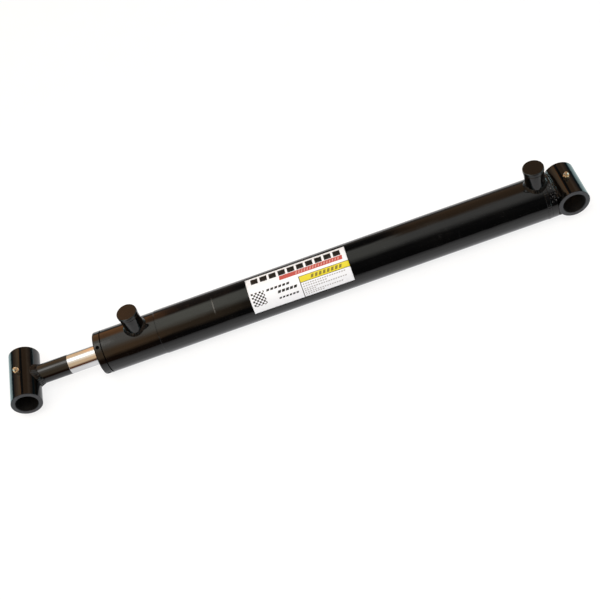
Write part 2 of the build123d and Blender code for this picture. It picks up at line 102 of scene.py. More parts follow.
# ---- Short calls for shader nodes ----
class Graph:
    """A node tree with one short call for each kind of node used here."""

    def __init__(self, tree, fresh=True):
        self.tree = tree
        if fresh:
            tree.nodes.clear()

    def add(self, kind, **settings):
        node = self.tree.nodes.new(kind)
        for name, value in settings.items():
            setattr(node, name, value)
        return node

    def put(self, socket, value):
        """Links value into the socket if it is one itself, and else sets it."""
        if isinstance(value, bpy.types.NodeSocket):
            self.tree.links.new(value, socket)
        elif value is not None:
            socket.default_value = value

    def math(self, operation, a, b=None, c=None, clamp=False):
        node = self.add("ShaderNodeMath", operation=operation, use_clamp=clamp)
        for socket, value in zip(node.inputs, (a, b, c)):
            self.put(socket, value)
        return node.outputs[0]

    def smooth(self, value, low, high, to_low=0.0, to_high=1.0):
        """Value moved smoothly from low..high to to_low..to_high."""
        node = self.add("ShaderNodeMapRange", interpolation_type="SMOOTHSTEP")
        for socket, number in zip(node.inputs, (value, low, high, to_low, to_high)):
            self.put(socket, number)
        return node.outputs[0]

    def blend(self, factor, a, b):
        """Colour a at factor 0 and b at 1."""
        node = self.add("ShaderNodeMix", data_type="RGBA")
        self.put(node.inputs[0], factor)
        for socket, value in ((node.inputs[6], a), (node.inputs[7], b)):
            self.put(socket, (*value, 1.0) if isinstance(value, tuple) else value)
        return node.outputs[2]

    def blend_value(self, factor, a, b):
        node = self.add("ShaderNodeMix", data_type="FLOAT")
        for socket, value in zip((node.inputs[0], node.inputs[2], node.inputs[3]), (factor, a, b)):
            self.put(socket, value)
        return node.outputs[0]

    def ramp(self, factor, stops):
        """A colour ramp from (place, colour) stops."""
        node = self.add("ShaderNodeValToRGB")
        elements = node.color_ramp.elements
        while len(elements) < len(stops):
            elements.new(0.5)
        for element, (place, colour) in zip(elements, stops):
            element.position = place
            element.color = (*colour, 1.0)
        self.put(node.inputs[0], factor)
        return node.outputs[0]

    def noise(self, vector, scale, detail=2.0, roughness=0.5):
        node = self.add("ShaderNodeTexNoise")
        self.put(node.inputs["Vector"], vector)
        self.put(node.inputs["Scale"], scale)
        self.put(node.inputs["Detail"], detail)
        self.put(node.inputs["Roughness"], roughness)
        return node.outputs[0]

    def stretched(self, vector, scale):
        """The coordinates with each axis scaled on its own."""
        node = self.add("ShaderNodeMapping")
        self.put(node.inputs["Vector"], vector)
        self.put(node.inputs["Scale"], scale)
        return node.outputs[0]

    def split(self, vector):
        node = self.add("ShaderNodeSeparateXYZ")
        self.put(node.inputs[0], vector)
        return node.outputs[0], node.outputs[1], node.outputs[2]

    def distance(self, a, b):
        """Length of the two-part vector (a, b)."""
        squares = [self.math("MULTIPLY", value, value) for value in (a, b)]
        return self.math("SQRT", self.math("ADD", *squares))

    def object_coords(self):
        return self.add("ShaderNodeTexCoord").outputs["Object"]


class Finish:
    """One surface's sockets: colour, metallic, roughness and height in millimetres."""

    def __init__(self, colour, metallic, roughness, height):
        self.colour, self.metallic, self.roughness, self.height = colour, metallic, roughness, height


def mixed(g, mask, a, b):
    """Finish a where the mask is 0 and b where it is 1."""
    return Finish(
        g.blend(mask, a.colour, b.colour),
        g.blend_value(mask, a.metallic, b.metallic),
        g.blend_value(mask, a.roughness, b.roughness),
        g.blend_value(mask, a.height, b.height),
    )


def material(name, paint, **sockets):
    """A material whose finish comes from paint(graph, object coordinates)."""
    made = bpy.data.materials.new(name)
    made.use_nodes = True
    g = Graph(made.node_tree)
    out = g.add("ShaderNodeOutputMaterial")
    shader = g.add("ShaderNodeBsdfPrincipled")
    g.put(out.inputs["Surface"], shader.outputs[0])
    finish = paint(g, g.object_coords())
    bump = g.add("ShaderNodeBump")
    g.put(bump.inputs["Distance"], 0.001)
    g.put(bump.inputs["Height"], finish.height)
    g.put(shader.inputs["Normal"], bump.outputs[0])
    g.put(shader.inputs["Base Color"], finish.colour)
    g.put(shader.inputs["Metallic"], finish.metallic)
    g.put(shader.inputs["Roughness"], finish.roughness)
    for socket, value in sockets.items():
        g.put(shader.inputs[socket.replace("_", " ")], value)
    return made


# ---- Finishes ----
def enamel(g, coords):
    """Gloss black enamel: orange peel, haze, dust and faint scuffs round the tube."""
    peel = g.noise(coords, 420.0, 2.0)
    sag = g.noise(coords, 46.0, 1.0)
    waves = g.noise(g.stretched(coords, (14.0, 95.0, 95.0)), 1.0, 2.0)
    haze = g.smooth(g.noise(coords, 17.0, 4.0, 0.6), 0.42, 0.72)
    dust = g.smooth(g.noise(coords, 1500.0, 1.0), 0.70, 0.78)
    patch = g.smooth(g.noise(coords, 9.0, 2.0), 0.52, 0.70)
    rub = g.smooth(g.noise(g.stretched(coords, (1300.0, 60.0, 60.0)), 1.0, 2.0), 0.66, 0.74)
    scuff = g.math("MULTIPLY", g.math("MULTIPLY", patch, rub), 0.5)
    colour = g.blend(haze, (0.0006, 0.0006, 0.0007), (0.0015, 0.0014, 0.0014))
    colour = g.blend(g.math("MULTIPLY", dust, 0.15), colour, (0.10, 0.09, 0.075))
    colour = g.blend(scuff, colour, (0.030, 0.030, 0.030))
    roughness = g.smooth(haze, 0.0, 1.0, 0.075, 0.15)
    roughness = g.math("ADD", roughness, g.math("MULTIPLY", g.math("ADD", dust, scuff), 0.25))
    height = g.math("ADD", g.math("MULTIPLY", peel, 0.009), g.math("MULTIPLY", sag, 0.055))
    height = g.math("MULTIPLY_ADD", waves, 0.260, height)
    height = g.math("SUBTRACT", height, g.math("MULTIPLY", scuff, 0.004))
    return Finish(colour, 0.0, roughness, height)


def thin_enamel(g, coords):
    """Thin dull enamel over a sawn or bored face, greyed by the steel under it."""
    patch = g.noise(coords, 160.0, 4.0, 0.6)
    rings = g.noise(g.stretched(coords, (60.0, 2400.0, 60.0)), 1.0, 2.0)
    colour = g.ramp(patch, [(0.3, (0.014, 0.0145, 0.017)), (0.7, (0.036, 0.037, 0.043))])
    height = g.math("ADD", g.math("MULTIPLY", rings, 0.012), g.math("MULTIPLY", patch, 0.015))
    return Finish(colour, 0.0, g.smooth(patch, 0.2, 0.8, 0.32, 0.55), height)


def dark_bore(g, coords):
    """Inside of a pin bore: rough black with old grease."""
    patch = g.noise(coords, 90.0, 4.0, 0.6)
    colour = g.ramp(patch, [(0.3, (0.0018, 0.0018, 0.0022)), (0.75, (0.006, 0.0055, 0.005))])
    return Finish(colour, 0.0, g.smooth(patch, 0.2, 0.8, 0.55, 0.8), g.math("MULTIPLY", patch, 0.03))


def weld_enamel(g, coords):
    """The same enamel over a weld, with grit, and small raised spots coloured pale as painted highlights
    that stand in for glints off the bead.
    """
    grit = g.noise(coords, 900.0, 3.0, 0.6)
    patch = g.noise(coords, 140.0, 3.0)
    painted_glint = g.smooth(g.noise(coords, 430.0, 3.0, 0.7), 0.70, 0.77)
    colour = g.ramp(patch, [(0.35, (0.0010, 0.0010, 0.0012)), (0.75, (0.0040, 0.0038, 0.0036))])
    # Painted highlight: small pale spots stand in for glints off the bead's ripples; their bump is real.
    colour = g.blend(painted_glint, colour, (0.19, 0.19, 0.195))
    height = g.math("ADD", g.math("MULTIPLY", grit, 0.03), g.math("MULTIPLY", patch, 0.08))
    height = g.math("MULTIPLY_ADD", painted_glint, 0.15, height)
    return Finish(colour, 0.0, g.smooth(grit, 0.3, 0.75, 0.05, 0.16), height)


def cap_finish(g, coords):
    """Enamel, with raised weld spatter on the upper side between the two welds, coloured pale as a painted
    highlight that stands in for glints.
    """
    x, _, z = g.split(coords)
    near = g.math("MULTIPLY", g.smooth(x, 0.0290, 0.0312, 1.0, 0.0), g.smooth(z, 0.012, 0.018))
    spatter_and_glints = g.smooth(g.noise(coords, 520.0, 4.0, 0.75), 0.575, 0.64)
    base = enamel(g, coords)
    spatter_with_glints = weld_enamel(g, coords)
    # Painted highlight: the spatter's pale colour stands in for glints; its raised height is real spatter.
    spatter_with_glints.colour = g.blend(spatter_and_glints, spatter_with_glints.colour, (0.20, 0.20, 0.205))
    spatter_with_glints.height = g.math("ADD", spatter_with_glints.height, 0.6)
    return mixed(g, g.math("MULTIPLY", near, spatter_and_glints), base, spatter_with_glints)


def chrome(g, coords):
    """Polished hard chrome: fine grinding rings and a little oil."""
    rings = g.noise(g.stretched(coords, (5200.0, 90.0, 90.0)), 1.0, 3.0)
    oil = g.noise(coords, 38.0, 4.0, 0.6)
    colour = g.ramp(oil, [(0.3, (0.62, 0.62, 0.625)), (0.7, (0.70, 0.70, 0.705))])
    height = g.math("ADD", g.math("MULTIPLY", rings, 0.0006), g.math("MULTIPLY", oil, 0.004))
    return Finish(colour, 1.0, g.smooth(oil, 0.3, 0.75, 0.07, 0.16), height)


def turned_steel(g, coords):
    """Turned steel with tool rings round X and a film of oil."""
    rings = g.noise(g.stretched(coords, (3200.0, 120.0, 120.0)), 1.0, 2.0)
    stain = g.noise(coords, 70.0, 4.0, 0.6)
    colour = g.ramp(stain, [(0.3, (0.33, 0.32, 0.31)), (0.7, (0.52, 0.51, 0.49))])
    height = g.math("ADD", g.math("MULTIPLY", rings, 0.008), g.math("MULTIPLY", stain, 0.004))
    return Finish(colour, 1.0, g.smooth(stain, 0.2, 0.8, 0.22, 0.42), height)


def plated_brass(g, coords):
    """Yellow-plated steel, lighter and darker in random stains."""
    stain = g.noise(coords, 420.0, 3.0, 0.6)
    colour = g.ramp(stain, [(0.3, (0.80, 0.62, 0.40)), (0.6, (0.97, 0.87, 0.70))])
    return Finish(colour, 1.0, g.smooth(stain, 0.2, 0.8, 0.42, 0.28), g.math("MULTIPLY", stain, 0.02))


def moulded(dark, light, rough_low, rough_high, grain=0.01):
    """A moulded rubber or plastic finish between two shades."""

    def paint(g, coords):
        patch = g.noise(coords, 160.0, 4.0, 0.6)
        fine = g.noise(coords, 1800.0, 2.0)
        colour = g.ramp(patch, [(0.3, dark), (0.7, light)])
        height = g.math("ADD", g.math("MULTIPLY", fine, grain), g.math("MULTIPLY", patch, grain))
        return Finish(colour, 0.0, g.smooth(patch, 0.2, 0.8, rough_low, rough_high), height)

    return paint


def rub_mark(g, coords):
    """1 on a thin pale mark that runs a sixth of the way round the tube, and 0 off it."""
    x, y, z = g.split(coords)
    from_mark = g.math("ABSOLUTE", g.math("SUBTRACT", x, MARK_X))
    turn = g.math("DEGREES", g.math("ARCTAN2", y, z))
    from_middle = g.math("ABSOLUTE", g.math("SUBTRACT", turn, 24.0))
    thin = g.smooth(from_mark, 0.0004, 0.0013, 1.0, 0.0)
    short = g.smooth(from_middle, 2.0, 27.0, 1.0, 0.0)
    worn = g.smooth(g.noise(coords, 900.0, 2.0), 0.30, 0.60)
    return g.math("MULTIPLY", g.math("MULTIPLY", thin, short), worn)


def barrel_finish(g, coords):
    """Enamel outside, with one rub mark, and honed steel in the bore."""
    _, y, z = g.split(coords)
    mark = rub_mark(g, coords)
    paint = enamel(g, coords)
    paint.colour = g.blend(mark, paint.colour, (0.105, 0.102, 0.096))
    paint.roughness = g.blend_value(mark, paint.roughness, 0.5)
    outside = g.smooth(g.distance(y, z), IN_WALL_R - 0.0002, IN_WALL_R + 0.0002)
    return mixed(g, outside, turned_steel(g, coords), paint)


def gland_finish(g, coords):
    """Enamel on the flange, bare steel behind it."""
    flange = g.smooth(g.split(coords)[0], FLANGE_X - 0.0002, FLANGE_X + 0.0002)
    return mixed(g, flange, turned_steel(g, coords), enamel(g, coords))


def plug_finish(g, coords):
    """Duller enamel on the head, plated steel on the screwed shank."""
    head = g.smooth(g.split(coords)[2], PLUG_HEAD_Z - 0.0001, PLUG_HEAD_Z + 0.0001)
    paint = enamel(g, coords)
    paint.roughness = g.math("ADD", paint.roughness, 0.14)
    return mixed(g, head, turned_steel(g, coords), paint)


def cross_tube_finish(pin_x, half_length):
    """Enamel round the tube, thin enamel on its end faces, a dark bore."""

    def paint(g, coords):
        x, y, z = g.split(coords)
        radius = g.distance(g.math("SUBTRACT", x, pin_x), z)
        face = g.smooth(g.math("ABSOLUTE", y), half_length - 0.0009, half_length - 0.0004)
        tube = mixed(g, face, enamel(g, coords), thin_enamel(g, coords))
        wall = g.smooth(radius, PIN_BORE_R + 0.00001, PIN_BORE_R + 0.0002)
        return mixed(g, wall, dark_bore(g, coords), tube)

    return paint


def rod_finish(g, coords):
    """Chrome, enamel on the outer stretch with a masked edge, bare thread inside."""
    x = g.split(coords)[0]
    wander = g.math("MULTIPLY", g.math("SUBTRACT", g.noise(coords, 130.0, 2.0), 0.5), 0.0009)
    painted = g.smooth(g.math("ADD", x, wander), PAINT_EDGE_X - 0.0002, PAINT_EDGE_X + 0.0002)
    polished = g.smooth(x, CHROME_FROM_X - 0.0001, CHROME_FROM_X + 0.0001)
    bright = mixed(g, polished, turned_steel(g, coords), chrome(g, coords))
    return mixed(g, painted, bright, enamel(g, coords))


PAINT = material("gloss_black_enamel", enamel)
WELD = material("enamel_over_weld", weld_enamel)
STEEL = material("turned_steel", turned_steel)
BRASS = material("yellow_plating", plated_brass)
RUBBER = material("nitrile_rubber", moulded((0.010, 0.010, 0.010), (0.026, 0.025, 0.024), 0.38, 0.6))
POLYURETHANE = material("polyurethane", moulded((0.03, 0.10, 0.26), (0.05, 0.15, 0.34), 0.28, 0.45))
BRONZE_PTFE = material("bronze_filled_ptfe", moulded((0.22, 0.13, 0.055), (0.34, 0.22, 0.10), 0.4, 0.6))
PHENOLIC = material("phenolic_strip", moulded((0.30, 0.065, 0.035), (0.44, 0.11, 0.06), 0.45, 0.65, 0.02))

LOOKS = {
    "barrel_tube": material("barrel_paint", barrel_finish),
    "gland": material("gland_paint", gland_finish),
    "base_cap": material("base_cap_paint", cap_finish),
    "base_cross_tube": material("base_cross_tube_paint", cross_tube_finish(0.0, BASE_TUBE_HALF)),
    "rod_cross_tube": material("rod_cross_tube_paint", cross_tube_finish(ROD_PIN_X, ROD_TUBE_HALF)),
    "piston_rod": material("chromed_rod", rod_finish),
    "rod_wiper": RUBBER,
    "rod_seal": POLYURETHANE,
    "rod_guide_rings": PHENOLIC,
    "piston_wear_rings": PHENOLIC,
    "piston_seal": BRONZE_PTFE,
    "gland_backup_ring": BRONZE_PTFE,
    "piston_seal_energizer": RUBBER,
    "gland_o_ring": RUBBER,
    "piston_rod_o_ring": RUBBER,
    "piston": STEEL,
    "piston_nut": STEEL,
}
plug_look = material("plug_paint", plug_finish)
for port in PORTS:
    LOOKS[port + "_boss"] = PAINT
    LOOKS[port + "_plug"] = plug_look
    LOOKS[port + "_o_ring"] = RUBBER
for end in ("base", "rod"):
    LOOKS[end + "_grease_nipple"] = BRASS
    LOOKS[end + "_nipple_ball"] = STEEL

for name, look in LOOKS.items():
    nodes[name].data.materials.clear()
    nodes[name].data.materials.append(look)


# ---- Meshes built here ----
def piece(name, points, faces, look, body, slot, *stands_for):
    """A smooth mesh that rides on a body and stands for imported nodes."""
    mesh = bpy.data.meshes.new(name)
    mesh.from_pydata([tuple(point) for point in points], [], faces)
    shell = bmesh.new()
    shell.from_mesh(mesh)
    bmesh.ops.recalc_face_normals(shell, faces=shell.faces)
    shell.to_mesh(mesh)
    shell.free()
    mesh.shade_smooth()
    mesh.materials.append(look)
    made = bpy.data.objects.new(name, mesh)
    scene.collection.objects.link(made)
    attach(made, body)
    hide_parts(*stands_for)
    return made


def weld_bead(name, seam, body, stands_for, crown, pitch, ripple, closed=True, seed=1):
    """A weld bead along a seam with fish-scale ripples.

    seam holds (toe on one side, toe on the other, root) for a row of places along it. crown is how
    far the middle bulges out of the straight line between the toes, or in where it is negative,
    pitch the mean length of a ripple, and ripple its height.
    """
    rng = random.Random(seed)
    count = len(seam)
    length = sum((Vector(seam[i][0]) - Vector(seam[i - 1][0])).length for i in range(1, count))
    scales = max(6, round(length / pitch))
    sizes = [rng.uniform(0.65, 1.25) for _ in range(scales + 2)]
    shifts = [rng.uniform(-0.5, 0.5) for _ in range(scales + 2)]
    across = 10
    bow, swing, steepness = 0.55, 0.05, 9
    points, faces = [], []
    for i, (toe_a, toe_b, root) in enumerate(seam):
        a, b, r = Vector(toe_a), Vector(toe_b), Vector(root)
        middle = (a + b) / 2
        out = (middle - r).normalized()
        control = middle + out * crown * 2
        run = i / count * scales
        waver = shifts[int(run) % scales] * (1 - run % 1) + shifts[(int(run) + 1) % scales] * (run % 1)
        for k in range(across + 1):
            t = k / across
            spot = a * (1 - t) ** 2 + control * 2 * t * (1 - t) + b * t**2
            phase = run + bow * (2 * t - 1) ** 2
            step = phase % 1.0
            scale = sizes[int(phase) % scales]
            rise = ripple * scale * (1 - step) ** 0.6 * min(1.0, step * steepness)
            fade = sin(pi * t) ** 0.7
            slide = (b - a) * swing * waver * sin(pi * t)
            points.append(spot + out * rise * fade + slide)
        points.append(r)
    ring = across + 2
    last = count if closed else count - 1
    for i in range(last):
        here, there = i * ring, (i + 1) % count * ring
        for k in range(ring):
            after = (k + 1) % ring
            faces.append((here + k, there + k, there + after, here + after))
    if not closed:
        faces.append(tuple(range(ring)))
        faces.append(tuple(reversed(range((count - 1) * ring, count * ring))))
    piece(name, points, faces, WELD, body, "weld_paint", stands_for)


def cap_weld_seam(count=720):
    """Toes of the weld ring between base cap and tube."""
    seam = []
    cap_side, tube_side = CAP_WELD_X
    toe_r = BARREL_R - SINK
    root_x, root_r = cap_side + 0.0025, BARREL_R - 0.00175
    for i in range(count):
        angle = tau * i / count
        y, z = sin(angle), cos(angle)
        seam.append((
            (tube_side, y * toe_r, z * toe_r),
            (cap_side, y * toe_r, z * toe_r),
            (root_x, y * root_r, z * root_r),
        ))
    return seam


def port_weld_seam(port_x, tube_r, leg=0.0030, count=420):
    """Toes of the weld round a port boss's foot: up the boss and out on the tube."""
    seam = []
    inner, outer = BOSS_R - SINK, BOSS_R + leg
    root = 0.0006
    for i in range(count):
        angle = tau * i / count
        c, s = cos(angle), sin(angle)
        foot = sqrt(tube_r**2 - (inner * s) ** 2)
        toe = sqrt(tube_r**2 - (outer * s) ** 2) - SINK
        seam.append((
            (port_x + inner * c, inner * s, foot + leg),
            (port_x + outer * c, outer * s, toe),
            (port_x + (inner - root) * c, (inner - root) * s, foot - root),
        ))
    return seam


def rod_weld_seam(leg_rod=0.0070, leg_tube=0.0034, count=480):
    """Toes of the weld round the rod where it meets its cross tube."""
    seam = []
    inner, outer = ROD_R - SINK, ROD_R + leg_tube
    root = 0.0008
    for i in range(count):
        angle = tau * i / count
        y, z = sin(angle), cos(angle)
        meet = ROD_PIN_X - sqrt(TUBE_R**2 - (inner * z) ** 2)
        toe = ROD_PIN_X - sqrt(TUBE_R**2 - (outer * z) ** 2) + SINK
        seam.append((
            (meet - leg_rod, inner * y, inner * z),
            (toe, outer * y, outer * z),
            (meet + root, (inner - root) * y, (inner - root) * z),
        ))
    return seam


def base_weld_seam(side, count=260):
    """Toes of the fillet between the cap's end face and the cross tube, on side +1 or -1 of Z."""
    seam = []
    half_length = 0.0262
    flat_top, cap_edge_r = 0.0282, 0.0311
    tube_toe_x, toe_bow = 0.0138, 0.0008
    root_x, root_z = CAP_END_X + 0.0002, 0.0095
    for i in range(count):
        y = half_length * (2 * i / (count - 1) - 1)
        top = min(flat_top, sqrt(cap_edge_r**2 - y**2))
        reach = tube_toe_x + toe_bow * (y / half_length) ** 2
        seam.append((
            (CAP_END_X + SINK, y, side * top),
            (reach, y, side * (sqrt(TUBE_R**2 - reach**2) - SINK)),
            (root_x, y, side * root_z),
        ))
    return seam


weld_bead(
    "base_cap_weld_bead", cap_weld_seam(), "barrel", "base_cap_weld",
    crown=0.00020, pitch=0.0030, ripple=0.00024, seed=3,
)
weld_bead(
    "rod_weld_bead", rod_weld_seam(), "rod", "rod_cross_tube_weld",
    crown=-0.0012, pitch=0.0036, ripple=0.0011, seed=5,
)
for port, tube_r, seed in (("base_side_port", BARREL_R, 7), ("rod_side_port", LAND_R, 9)):
    weld_bead(
        port + "_weld_bead", port_weld_seam(sum(BOSS_X[port]) / 2, tube_r), "barrel", port + "_weld",
        crown=-0.0003, pitch=0.0030, ripple=0.0005, seed=seed,
    )
for place, side, seed in (("upper", 1, 11), ("lower", -1, 13)):
    weld_bead(
        "base_weld_bead_" + place, base_weld_seam(side), "barrel", "base_cross_tube_weld",
        crown=0.0010, pitch=0.0040, ripple=0.0013, closed=False, seed=seed,
    )


def spring(name, pin_x, lean, body, stands_for):
    """A coil spring under a nipple's check ball."""
    turns, coil_r, wire_r = 9, 0.00100, 0.00016
    bottom, top = -0.00422, 0.00494
    leaning = Matrix.Translation((pin_x, 0, 0)) @ Matrix.Rotation(lean, 4, "Y")
    place = leaning @ Matrix.Translation((0, 0, TUBE_R))
    per_turn, around = 28, 8
    count = turns * per_turn
    points, faces = [], []
    for i in range(count + 1):
        angle = tau * i / per_turn
        height = bottom + (top - bottom) * i / count
        for k in range(around):
            a = tau * k / around
            reach = coil_r + wire_r * cos(a)
            spot = Vector((reach * cos(angle), reach * sin(angle), height + wire_r * sin(a)))
            points.append(place @ spot)
    for i in range(count):
        for k in range(around):
            here, there = i * around, (i + 1) * around
            after = (k + 1) % around
            faces.append((here + k, there + k, there + after, here + after))
    faces.append(tuple(range(around)))
    faces.append(tuple(reversed(range(count * around, (count + 1) * around))))
    made = piece(name, points, faces, STEEL, body, "bright_steel", stands_for)
    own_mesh(made)


spring("base_spring_coil", 0.0, radians(-5), "barrel", "base_nipple_spring")
spring("rod_spring_coil", ROD_PIN_X, radians(5), "rod", "rod_nipple_spring")


# ---- Label ----
BOX_INPUTS = ("U", "V", "Left", "Right", "Top", "Bottom", "Slant")


def print_box_group():
    """Node group: 1 inside a slanted box of the print, 0 outside."""
    group = bpy.data.node_groups.new("print_box", "ShaderNodeTree")
    for name in BOX_INPUTS:
        group.interface.new_socket(name, in_out="INPUT", socket_type="NodeSocketFloat")
    group.interface.new_socket("Mask", in_out="OUTPUT", socket_type="NodeSocketFloat")
    g = Graph(group)
    into = g.add("NodeGroupInput").outputs
    out = g.add("NodeGroupOutput")
    u = g.math("MULTIPLY_ADD", into["V"], into["Slant"], into["U"])
    mask = g.math("GREATER_THAN", u, into["Left"])
    mask = g.math("MULTIPLY", mask, g.math("LESS_THAN", u, into["Right"]))
    mask = g.math("MULTIPLY", mask, g.math("GREATER_THAN", into["V"], into["Top"]))
    mask = g.math("MULTIPLY", mask, g.math("LESS_THAN", into["V"], into["Bottom"]))
    g.put(out.inputs[0], mask)
    return group


BOX = print_box_group()


def printed_vinyl(g, coords):
    """White vinyl with plain printed bars: nothing on it is lettering, a mark or a code."""
    uv = g.add("ShaderNodeTexCoord").outputs["UV"]
    u, v, _ = g.split(uv)

    def box(left, right, top, bottom, slant=0.0):
        """A printed box: left and right from 0 to 1 along the label, top and bottom down it."""
        node = g.add("ShaderNodeGroup", node_tree=BOX)
        for name, value in zip(BOX_INPUTS, (u, v, left, right, top, bottom, slant)):
            g.put(node.inputs[name], value)
        return node.outputs[0]

    def either(masks):
        total = masks[0]
        for mask in masks[1:]:
            total = g.math("MAXIMUM", total, mask)
        return total

    def dashes(left, right, top, bottom, pitch, share):
        """A row of short slanted dashes, each one whole, that starts at left and ends near right."""
        slant = 0.16
        whole = round((right - left) / pitch)
        start = left + slant * (top + bottom) / 2
        end = start + (whole - 1 + share) * pitch
        along = g.math("SUBTRACT", g.math("MULTIPLY_ADD", v, slant, u), start)
        wave = g.math("FRACT", g.math("MULTIPLY", along, 1.0 / pitch))
        return g.math("MULTIPLY", box(start, end, top, bottom, slant), g.math("LESS_THAN", wave, share))

    paper = g.noise(coords, 260.0, 4.0, 0.6)
    colour = g.blend(paper, (0.77, 0.79, 0.83), (0.82, 0.84, 0.88))
    ink = (0.005, 0.005, 0.005)
    step = 0.092
    blocks = [box(0.050 + step * i, 0.120 + step * i, 0.070, 0.240) for i in range(10)]
    colour = g.blend(either(blocks), colour, ink)
    red = box(0.335, 0.965, 0.255, 0.370, 0.03)
    slits = g.math("MULTIPLY", dashes(0.49, 0.95, 0.275, 0.350, 0.028, 0.42), 0.75)
    colour = g.blend(red, colour, (0.44, 0.060, 0.045))
    colour = g.blend(slits, colour, (0.60, 0.34, 0.31))
    yellow = box(0.505, 1.0, 0.445, 0.600)
    colour = g.blend(yellow, colour, (0.66, 0.56, 0.012))
    colour = g.blend(dashes(0.62, 0.92, 0.480, 0.565, 0.040, 0.62), colour, (0.20, 0.16, 0.008))
    frame_lines = [
        box(0.500, 1.0, 0.438, 0.452),
        box(0.500, 1.0, 0.594, 0.608),
        box(0.500, 0.508, 0.438, 1.0),
    ]
    colour = g.blend(either(frame_lines), colour, (0.05, 0.048, 0.04))
    row_ends_and_tops = (
        (0.955, 0.642), (0.755, 0.700), (0.955, 0.765),
        (0.645, 0.815), (0.905, 0.868), (0.720, 0.920),
    )
    rows = [dashes(0.52, right, top, top + 0.030, 0.024, 0.66) for right, top in row_ends_and_tops]
    colour = g.blend(g.math("MULTIPLY", either(rows), 0.75), colour, (0.24, 0.23, 0.23))
    bars = [
        dashes(0.175, 0.435, 0.480, 0.535, 0.040, 0.72),
        dashes(0.275, 0.475, 0.605, 0.670, 0.040, 0.76),
        dashes(0.270, 0.470, 0.775, 0.820, 0.034, 0.70),
    ]
    colour = g.blend(either(bars), colour, (0.012, 0.012, 0.014))
    check = g.add("ShaderNodeTexChecker")
    g.put(check.inputs["Vector"], g.stretched(uv, (2.4, 1.0, 0.0)))
    g.put(check.inputs["Scale"], 21.0)
    block = g.math("MULTIPLY", box(0.020, 0.150, 0.475, 0.830), check.outputs["Fac"])
    colour = g.blend(block, colour, (0.014, 0.012, 0.013))
    grime = g.smooth(g.noise(coords, 40.0, 5.0, 0.65), 0.55, 0.8)
    colour = g.blend(g.math("MULTIPLY", grime, 0.12), colour, (0.55, 0.53, 0.50))
    waves = g.noise(coords, 60.0, 1.0)
    height = g.math("ADD", g.math("MULTIPLY", paper, 0.02), g.math("MULTIPLY", waves, 0.06))
    return Finish(colour, 0.0, g.smooth(paper, 0.2, 0.8, 0.30, 0.45), height)


# The label is the rectangle that, a little askew, just fills the patch that its node covers.
LABEL_LEAN = radians(0.6)
PATCH_LOW, PATCH_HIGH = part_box("label")
PATCH_TOP = asin(PATCH_LOW.y / PATCH_HIGH.z)
PATCH_FOOT = acos(PATCH_LOW.z / BARREL_R)
PATCH_LONG = PATCH_HIGH.x - PATCH_LOW.x
PATCH_WIDE = BARREL_R * (PATCH_FOOT - PATCH_TOP)
LABEL_LONG = PATCH_LONG - PATCH_WIDE * sin(LABEL_LEAN)
LABEL_WIDE = PATCH_WIDE - PATCH_LONG * sin(LABEL_LEAN)


def label_spot(p, q, radius):
    """A place on the label: p from its rod-side edge, q from its upper edge, both 0 to 1."""
    along, down = (0.5 - p) * LABEL_LONG, (q - 0.5) * LABEL_WIDE
    x = (PATCH_LOW.x + PATCH_HIGH.x) / 2 + along * cos(LABEL_LEAN) + down * sin(LABEL_LEAN)
    turned = (down * cos(LABEL_LEAN) - along * sin(LABEL_LEAN)) / BARREL_R
    angle = (PATCH_TOP + PATCH_FOOT) / 2 + turned
    return (x, radius * sin(angle), radius * cos(angle))


def label_piece():
    """The label's vinyl: a thin closed shell just off the tube, with its print's UV map."""
    wide, high = 60, 48
    face_r, back_r = BARREL_R + 0.00014, BARREL_R + 0.00001
    points, faces = [], []
    for radius in (face_r, back_r):
        for j in range(high + 1):
            for i in range(wide + 1):
                points.append(label_spot(i / wide, j / high, radius))
    layer = (wide + 1) * (high + 1)

    def at(i, j, k=0):
        return k * layer + j * (wide + 1) + i

    for j in range(high):
        for i in range(wide):
            faces.append((at(i, j), at(i, j + 1), at(i + 1, j + 1), at(i + 1, j)))
            faces.append((at(i, j, 1), at(i + 1, j, 1), at(i + 1, j + 1, 1), at(i, j + 1, 1)))
    for i in range(wide):
        faces.append((at(i, 0), at(i + 1, 0), at(i + 1, 0, 1), at(i, 0, 1)))
        faces.append((at(i, high), at(i, high, 1), at(i + 1, high, 1), at(i + 1, high)))
    for j in range(high):
        faces.append((at(0, j), at(0, j, 1), at(0, j + 1, 1), at(0, j + 1)))
        faces.append((at(wide, j), at(wide, j + 1), at(wide, j + 1, 1), at(wide, j, 1)))
    vinyl = material("printed_vinyl", printed_vinyl)
    made = piece("label_vinyl", points, faces, vinyl, "barrel", "printed_label", "label")
    layout = made.data.uv_layers.new(name="label")
    for loop in made.data.loops:
        spot = loop.vertex_index % layer
        layout.data[loop.index].uv = (spot % (wide + 1) / wide, spot // (wide + 1) / high)


label_piece()


# ---- Studio ----
def plane(name, x, y, z, look):
    """A flat rectangle that isn't part of the object."""
    mesh = bpy.data.meshes.new(name)
    corners = [(x[0], y[0], z), (x[1], y[0], z), (x[1], y[1], z), (x[0], y[1], z)]
    mesh.from_pydata(corners, [], [(0, 1, 2, 3)])
    mesh.materials.append(look)
    made = bpy.data.objects.new(name, mesh)
    scene.collection.objects.link(made)
    return made


def floor_finish(g, coords):
    """A dull grey ground."""
    grain = g.noise(coords, 30.0, 4.0, 0.6)
    colour = g.ramp(grain, [(0.3, (0.20, 0.20, 0.20)), (0.7, (0.22, 0.22, 0.22))])
    return Finish(colour, 0.0, g.smooth(grain, 0.2, 0.8, 0.75, 0.9), g.math("MULTIPLY", grain, 0.05))


def floor_glow(g, coords):
    """Glow of the floor, which keeps the object's shadow faint."""
    return g.blend(g.noise(coords, 3.0), (0.80, 0.80, 0.80), (0.82, 0.82, 0.82))


